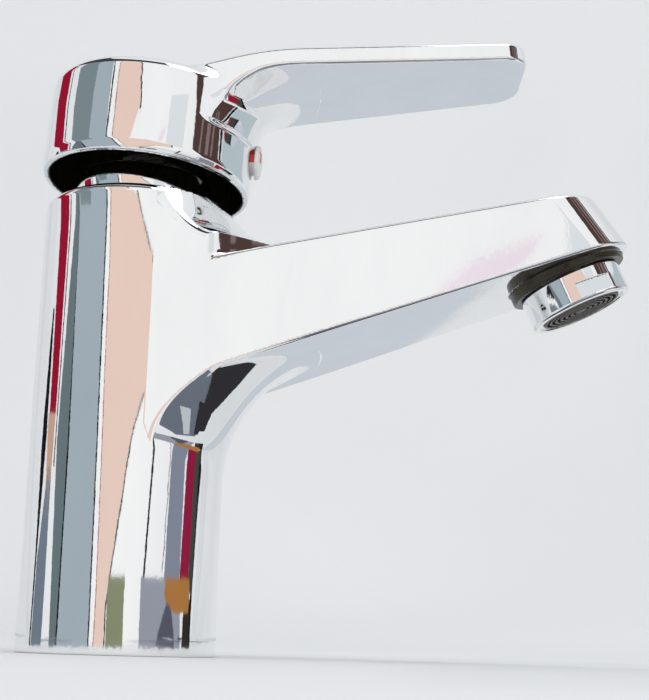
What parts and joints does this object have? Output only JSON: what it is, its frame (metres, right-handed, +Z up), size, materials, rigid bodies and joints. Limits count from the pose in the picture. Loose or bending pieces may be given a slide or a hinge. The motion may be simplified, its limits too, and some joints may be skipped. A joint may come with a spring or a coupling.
{
  "type": "basin mixer faucet",
  "caption": "Single-lever basin mixer: round column, flat spout, capped lever, disc cartridge and tilted aerator.",
  "frame": {"origin": "centre of the round base, on the deck", "axes": "+Z up the column, +X along the spout, +Y to the spout's left"},
  "size_m": [0.1572, 0.0566, 0.1629],
  "materials": {
    "chrome": "polished chrome plate",
    "brass": "machined brass",
    "steel": "turned stainless steel",
    "white_plastic": "moulded acetal",
    "grey_plastic": "moulded glass-filled plastic",
    "insert_plastic": "moulded dark olive plastic",
    "index_plastic": "glossy white cap with a red and a blue mark",
    "ceramic": "lapped alumina ceramic",
    "rubber": "black rubber"
  },
  "bodies": {
    "fixed_body": {"body": "chrome", "base_gasket": "rubber", "neck_ring": "chrome", "neck_o_ring": "rubber", "cartridge_nut": "brass", "cartridge_housing": "grey_plastic", "cartridge_base": "grey_plastic", "seat_seals": "rubber", "port_seals": "rubber", "fixed_disc": "ceramic", "slip_ring": "white_plastic", "aerator_housing": "chrome", "aerator_cage": "white_plastic", "aerator_screens": "steel", "aerator_grid": "insert_plastic", "aerator_washer": "rubber"},
    "swivel": {"swivel_guide": "white_plastic", "pivot_pin": "steel"},
    "lever": {"spindle": "brass", "handle": "chrome", "grub_screw": "steel", "index_plug": "index_plastic"},
    "slider": {"moving_disc": "ceramic", "disc_carrier": "white_plastic"}
  },
  "joints": [
    {"name": "lever_swing", "type": "hinge", "parent": "fixed_body", "child": "swivel", "pos_m": [0, 0, 0.11], "axis": [0, 0, 1], "range_deg": [-50, 50]},
    {"name": "lever_lift", "type": "hinge", "parent": "swivel", "child": "lever", "pos_m": [0, 0, 0.1102], "axis": [0, -1, 0], "range_deg": [0, 25]},
    {"name": "disc_slide", "type": "slide", "parent": "swivel", "child": "slider", "axis": [1, 0, 0], "range_m": [-0.0001, 0.0039]}
  ],
  "couplings": [
    {"joint": "disc_slide", "follows": "lever_lift", "m_per_rad": 0.00844}
  ]
}
